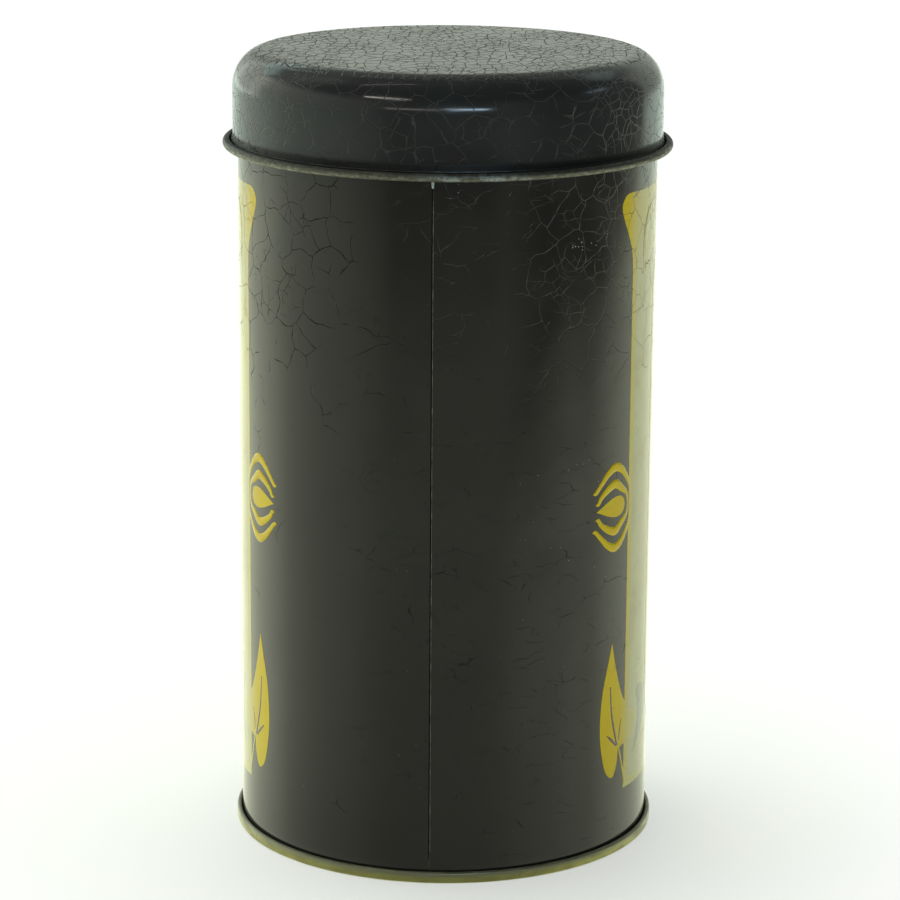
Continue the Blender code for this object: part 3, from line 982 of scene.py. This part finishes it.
def add_corner_leaf(yellow, brown):
    """The leaf in the panel's lower corner, leaning a little, with its stem and veins."""
    notch = (EDGE - 3.2, 27.9)
    lean = 7.0
    printed("corner_leaf", flat_shapes([placed(heart_leaf(), notch, lean)]), yellow, 0.034, True)
    stem = placed([(0.0, 1.2, 0.5), (1.0, -2.0, 0.6), (2.4, -7.0, 0.7), (4.0, -12.0, 1.0)], notch, lean - 4.0)
    printed("leaf_stem", flat_strokes([stem]), yellow, 0.034, True)
    midrib = [(-0.3, 1.0, 0.85), (-1.0, 4.5, 0.9), (-1.9, 10.0, 0.8), (-1.9, 18.0, 0.45)]
    near = [(-0.6, 0.9, 0.7), (-2.6, 3.2, 0.85), (-4.6, 5.2, 0.25)]
    far = [(0.7, 2.0, 0.3), (1.3, 4.6, 0.55), (2.4, 7.6, 0.2)]
    veins = [placed(line, notch, lean) for line in (midrib, near, far)]
    printed("leaf_veins", flat_strokes(veins), brown, 0.044, True)


def add_front(yellow, brown, sage):
    """The front, out of sight of the seam: a thin inner frame and a plain sprig of leaves."""
    scroll = [(11.5, 168.0, 3.0), (8.6, 163.0, 3.4), (7.6, 158.0, 2.6), (7.4, 152.0, 0.6)]
    printed("front_scroll", flat_strokes([placed(scroll, (EDGE, 0), 0)]), yellow, 0.027, True)
    shaded = placed(heart_leaf(), (EDGE + 15.0, 40.0), 150.0, 0.62)
    printed("front_shaded_leaf", flat_shapes([shaded]), sage, 0.034, True)
    corner = [(13, 28.0), (3, 33.0), (0, 45.0), (0, 100.0), (0, 140.0), (3, 152.0), (13, 157.0)]
    line = [(MIDDLE, 27.0), (MIDDLE - 30, 27.0)] + placed(corner, (EDGE + 17.0, 0), 0)
    line += [(MIDDLE - 30, 158.0), (MIDDLE, 158.0)]
    printed("front_frame", flat_strokes([[(x, y, 0.7) for x, y in line]]), brown, 0.034, True)
    stalk = [(MIDDLE, 46.0, 1.5), (MIDDLE, 90.0, 1.2), (MIDDLE, 128.0, 0.6)]
    printed("front_stalk", flat_strokes([stalk]), sage, 0.034, False)
    leaves = []
    for k in range(6):
        leaf = pointed_leaf(20.0 - 1.6 * k, 6.4 - 0.4 * k)
        leaves.append(placed(leaf, (MIDDLE - 0.6, 56.0 + 12.0 * k), 48.0 - 3 * k))
    printed("front_sprig", flat_shapes(leaves), sage, 0.036, True)
    bud = placed(pointed_leaf(15.0, 5.0), (MIDDLE, 125.0), 0)
    printed("front_bud", flat_shapes([bud]), sage, 0.036, False)


# ------------ stage, light and camera

CAMERA_TURN = math.radians(3.8)  # the camera stands this far to the right of the side seam
CAMERA_DISTANCE = 16.364 * WALL_RADIUS
CAMERA_HEIGHT = 5.965 * WALL_RADIUS
CAMERA_PITCH = 0.2462
CAMERA_ROLL = 0.007
CAMERA_YAW = 0.00124
LENS = 138.5
TIN_TOP = (0.0, 0.0, 0.2)


def add_camera():
    data = bpy.data.cameras.new("camera")
    data.lens = LENS
    data.sensor_width = 36.0
    data.clip_start = 0.01
    camera = linked("camera", data)
    away = (math.sin(CAMERA_TURN), -math.cos(CAMERA_TURN))
    camera.location = (CAMERA_DISTANCE * away[0], CAMERA_DISTANCE * away[1], CAMERA_HEIGHT)
    heading = Euler((math.pi / 2 - CAMERA_PITCH, 0.0, CAMERA_TURN - CAMERA_YAW)).to_matrix()
    camera.rotation_euler = (heading @ Euler((0.0, 0.0, CAMERA_ROLL)).to_matrix()).to_euler()
    bpy.context.scene.camera = camera


def add_floor():
    reach = 8.0
    turns = [math.tau * i / 96 for i in range(96)]
    rim = [(reach * math.cos(a), reach * math.sin(a), 0.0) for a in turns]
    mesh = plain_mesh("floor", rim, faces=[tuple(range(len(rim)))])
    floor = linked("floor", mesh)
    finish = bpy.data.materials.new("pale_table")
    finish.use_nodes = True
    tree = finish.node_tree
    tree.nodes.clear()
    n = Nodes(tree)
    place = n.add("ShaderNodeTexCoord").outputs["Object"]
    away = n.add("ShaderNodeVectorMath", {0: place}, operation="LENGTH").outputs["Value"]
    near = n.add("ShaderNodeBsdfDiffuse", {"Color": (0.80, 0.85, 0.76)}).outputs[0]
    far = n.add("ShaderNodeEmission", {"Color": (0.99, 1.0, 0.98), "Strength": 1.05}).outputs[0]
    both = n.add("ShaderNodeMixShader", {0: n.ramp(away, 0.056, 0.20, 0.47, 1.0), 1: near, 2: far}).outputs[0]
    n.add("ShaderNodeOutputMaterial", {"Surface": both})
    mesh.materials.append(finish)
    floor.visible_glossy = False


def add_world():
    """A studio: a bright backdrop all round the back, dim towards the viewer and overhead."""
    world = bpy.data.worlds.new("studio")
    bpy.context.scene.world = world
    world.use_nodes = True
    tree = world.node_tree
    tree.nodes.clear()
    n = Nodes(tree)
    direction = n.add("ShaderNodeTexCoord").outputs["Generated"]
    x, y, z = n.parts(direction)
    level = n.length(x, y)
    level = n.most(level, 0.001)
    back = n.over(y, level)
    side = n.over(x, level)
    curve = n.add("ShaderNodeFloatCurve", {"Factor": 1.0, "Value": n.ramp(back, -1, 1, smooth=False)})
    points = ((0.0, 0.155), (0.05, 0.18), (0.177, 0.33), (0.325, 0.46))
    points += ((0.517, 0.64), (0.67, 0.86), (0.81, 0.88), (1.0, 0.88))
    shape = curve.mapping.curves[0]
    shape.points[0].location, shape.points[1].location = points[0], points[-1]
    for point in points[1:-1]:
        shape.points.new(*point)
    curve.mapping.update()
    low = n.ramp(z, -0.165, -0.225)
    foot = n.ramp(z, -0.312, -0.350, 1.0, 0.74)
    backdrop = n.times(curve.outputs[0], n.ramp(low, 0, 1, 1.45, 2.0, smooth=False))
    behind = n.times(n.ramp(back, 0.25, 0.9), n.ramp(z, -0.12, 0.05))
    backdrop = n.toned(backdrop, behind, 0.52)
    right = n.times(n.ramp(side, -0.2, 0.5), low, n.ramp(back, -0.3, 0.2))
    backdrop = n.toned(backdrop, right, 0.77)
    front = n.times(n.ramp(back, -0.3, -0.9), n.ramp(z, -0.17, -0.215))
    backdrop = n.plus(backdrop, n.times(front, 0.14))
    upper_left = n.times(n.ramp(side, -0.5, -0.9), n.ramp(z, -0.200, -0.180), n.ramp(z, -0.160, -0.168))
    backdrop = n.toned(backdrop, upper_left, 1.28)
    left = n.times(n.ramp(side, -0.30, -0.50), n.ramp(z, -0.14, -0.02), n.ramp(z, 0.50, 0.35))
    backdrop = n.toned(backdrop, n.times(left, n.ramp(back, 0.3, 0.6)), 2.0)
    above = n.times(n.ramp(z, 0.50, 0.62), n.ramp(z, 0.92, 0.80), n.ramp(back, -0.2, 0.3))
    ceiling = n.plus(n.ramp(z, 0.38, 0.62, 1.0, 0.06), n.times(above, 0.28))
    edge = n.plus(n.times(back, 0.082), n.ramp(back, 0.0, -0.35, -0.215, -0.185))
    reach = n.ramp(n.minus(z, edge), -0.022, 0.014)
    stand = n.times(n.ramp(side, 0.35, 0.90), reach, n.ramp(back, 0.72, 0.60))
    viewer = n.times(n.ramp(back, -0.80, -0.92), n.ramp(z, -0.225, -0.195))
    room = n.toned(n.times(backdrop, ceiling, foot), stand, 0.14, False)
    room = n.toned(room, viewer, 0.45, False)
    seen = n.add("ShaderNodeLightPath").outputs["Is Camera Ray"]
    strength = n.add("ShaderNodeMix", {0: seen, 2: room, 3: 1.05}, data_type="FLOAT")
    tint = n.mix(n.ramp(z, -0.170, -0.158), (0.95, 1.0, 0.76), (0.85, 1.0, 0.88))
    tint = n.mix(n.ramp(z, -0.10, 0.05), tint, (0.93, 1.0, 0.87))
    tint = n.mix(seen, tint, (1.0, 1.0, 1.0))
    glow = n.add("ShaderNodeBackground", {"Color": tint, "Strength": strength.outputs[0]})
    n.add("ShaderNodeOutputWorld", {"Surface": glow.outputs[0]})


def add_softbox(name, place, size, power, aim=(0.0, 0.0, 0.1), glossy=False, tint=(1.0, 1.0, 1.0)):
    data = bpy.data.lights.new(name, "AREA")
    data.shape = "RECTANGLE"
    data.size, data.size_y = size
    data.energy = power
    data.color = tint
    lamp = linked(name, data)
    lamp.location = place
    lamp.rotation_euler = (Vector(aim) - Vector(place)).to_track_quat("-Z", "Y").to_euler()
    lamp.visible_glossy = glossy


def around(turn, rise, far):
    """A place seen from the tin's top at this turn right of the camera and this rise, both in degrees."""
    turn = math.radians(turn) + CAMERA_TURN
    rise = math.radians(rise)
    level = far * math.cos(rise)
    return (level * math.sin(turn), -level * math.cos(turn), TIN_TOP[2] + far * math.sin(rise))


def add_lights():
    add_softbox("overhead", (-0.20, 0.30, 1.3), (1.3, 1.3), 21.0)
    warm, cold, teal = (1.0, 0.93, 0.85), (0.60, 0.82, 1.0), (0.72, 1.0, 0.96)
    for name, turn, rise, far, size, power, tint in (
        ("lamp", -36, 36, 1.5, (0.58, 0.085), 1.15, warm),
        ("lamp_above", -80, 70, 1.5, (0.030, 0.55), 0.17, warm),
        ("shelf", -18, 12, 1.5, (0.76, 0.065), 0.46, warm),
        ("window", 10, 13, 1.5, (0.56, 0.080), 2.4, cold),
        ("far_window", 93, 28, 1.5, (0.36, 0.09), 0.20, cold),
        ("back_left", -149, 30, 1.8, (1.1, 0.30), 1.05, teal),
        ("back_right", 133, 42, 1.8, (0.8, 0.36), 0.50, teal),
    ):
        add_softbox(name, around(turn, rise, far), size, power, TIN_TOP, True, tint)


# ------------ build

CRACKLE = crackle_group()
TURNING = turning_tree()
DENTING = denting_tree()
WRAPPING = wrapping_tree()
STROKES = stroke_tree()
SCATTER = scatter_tree()


def keep(piece, body, slot, *nodes):
    """Says what a finished piece rides on and which nodes it stands for; its slot is not used."""
    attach(piece, body)
    if nodes:
        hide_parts(*nodes)


def build():
    black = body_black()
    tin = bare_tin()
    gold = gold_tin()
    keep(make_lid(lid_black(), tin), "lid", "lid_black_lacquer", "lid")
    keep(make_wall(black, gold), "can", "body_black_lacquer", "body_wall")
    keep(make_bottom_end(gold), "can", "gold_lacquered_tinplate", "bottom_end")
    yellow, brown = yellow_ink(), dark_ink()
    add_panel(yellow, cream_ink())
    add_palmette(yellow)
    add_corner_leaf(yellow, brown)
    add_front(yellow, brown, sage_ink())
    add_wear_and_glints(pale_spots(), tin)
    for node, finish in (("seam_solder", grey_solder()), ("sealing_ring", lining_compound())):
        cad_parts[node].data.materials.clear()
        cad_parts[node].data.materials.append(finish)


build()
add_floor()
add_world()
add_lights()
add_camera()
bpy.context.scene.view_settings.view_transform = "Standard"
